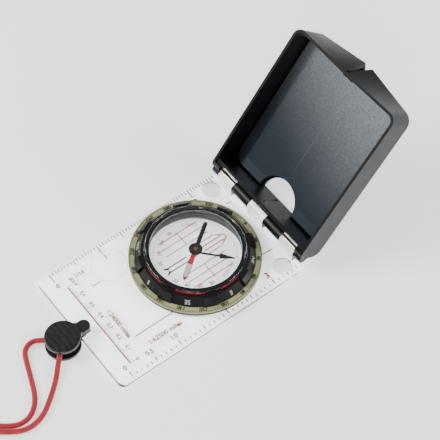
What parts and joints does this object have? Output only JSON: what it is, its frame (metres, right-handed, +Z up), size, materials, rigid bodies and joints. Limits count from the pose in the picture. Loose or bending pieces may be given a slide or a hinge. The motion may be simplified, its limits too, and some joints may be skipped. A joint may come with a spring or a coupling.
{
  "type": "mirror-sighting baseplate compass",
  "caption": "Clear baseplate compass with a turning dial in a liquid capsule, a hinged mirror lid with sighting notch, scales, a magnifier and a braided lanyard on a clip.",
  "frame": {"origin": "on the resting plane, on the dial's turning axis", "axes": "+X to the right, +Y from the dial to the lid's hinge, +Z up from the resting plane through the dial"},
  "size_m": [0.0689, 0.2538, 0.0762],
  "materials": {
    "clear_acrylic": "clear, polished",
    "clear_silicone": "clear, soft",
    "black_plastic": "fine satin",
    "mirror_glass": "silvered",
    "tape": "foam tape",
    "pin_steel": "ground",
    "olive_print": "matt, luminous",
    "spring_steel": "plain",
    "capsule_clear": "clear, polished",
    "seal_rubber": "plain",
    "screw_brass": "turned",
    "needle_black": "satin",
    "luminous": "matt",
    "hub_plastic": "satin",
    "jewel": "polished",
    "red_braid": "braided"
  },
  "bodies": {
    "base": {"baseplate": "clear_acrylic", "foot_left": "clear_silicone", "foot_right": "clear_silicone", "clip_cap": "black_plastic", "clip_base": "black_plastic", "cord_strand_a": "red_braid", "cord_strand_b": "red_braid", "cord_coil": "red_braid"},
    "lid": {"lid_shell": "black_plastic", "mirror": "mirror_glass", "mirror_tape_left": "tape", "mirror_tape_right": "tape", "hinge_pin_left": "pin_steel", "hinge_pin_right": "pin_steel"},
    "dial": {"bezel_ring": "black_plastic", "scale_ring": "olive_print", "retaining_ring": "spring_steel", "capsule_base": "capsule_clear", "capsule_crystal": "capsule_clear", "capsule_seal": "seal_rubber", "inner_ring": "black_plastic", "pivot_pin": "pin_steel"},
    "orienting": {"orienting_disc": "capsule_clear"},
    "adjuster": {"declination_screw": "screw_brass"},
    "clinometer": {"clinometer_pointer": "needle_black", "clinometer_bush": "screw_brass"},
    "needle": {"needle_blade": "needle_black", "needle_lume": "luminous", "needle_hub": "hub_plastic", "needle_jewel": "jewel"}
  },
  "joints": [
    {"name": "lid_hinge", "type": "hinge", "parent": "base", "child": "lid", "pos_m": [0, 0.03646, 0.008], "axis": [-1, 0, 0], "range_deg": [-125.3, 54.7]},
    {"name": "dial_turn", "type": "hinge", "parent": "base", "child": "dial", "pos_m": [0, 0, 0.005], "axis": [0, 0, 1], "continuous": true},
    {"name": "declination_turn", "type": "hinge", "parent": "dial", "child": "orienting", "pos_m": [0, 0, 0.0054], "axis": [0, 0, 1], "range_deg": [-90, 90]},
    {"name": "adjuster_turn", "type": "hinge", "parent": "dial", "child": "adjuster", "pos_m": [0, -0.02075, 0.0045], "axis": [0, 0, 1], "range_deg": [-1610, 1610]},
    {"name": "clinometer_swing", "type": "hinge", "parent": "dial", "child": "clinometer", "pos_m": [0, 0, 0.0073], "axis": [0, 0, 1], "continuous": true},
    {"name": "needle_swing", "type": "hinge", "parent": "dial", "child": "needle", "pos_m": [0, 0, 0.0094], "axis": [0, 0, 1], "continuous": true}
  ],
  "couplings": [
    {"joint": "adjuster_turn", "follows": "declination_turn", "ratio": -17.818}
  ]
}
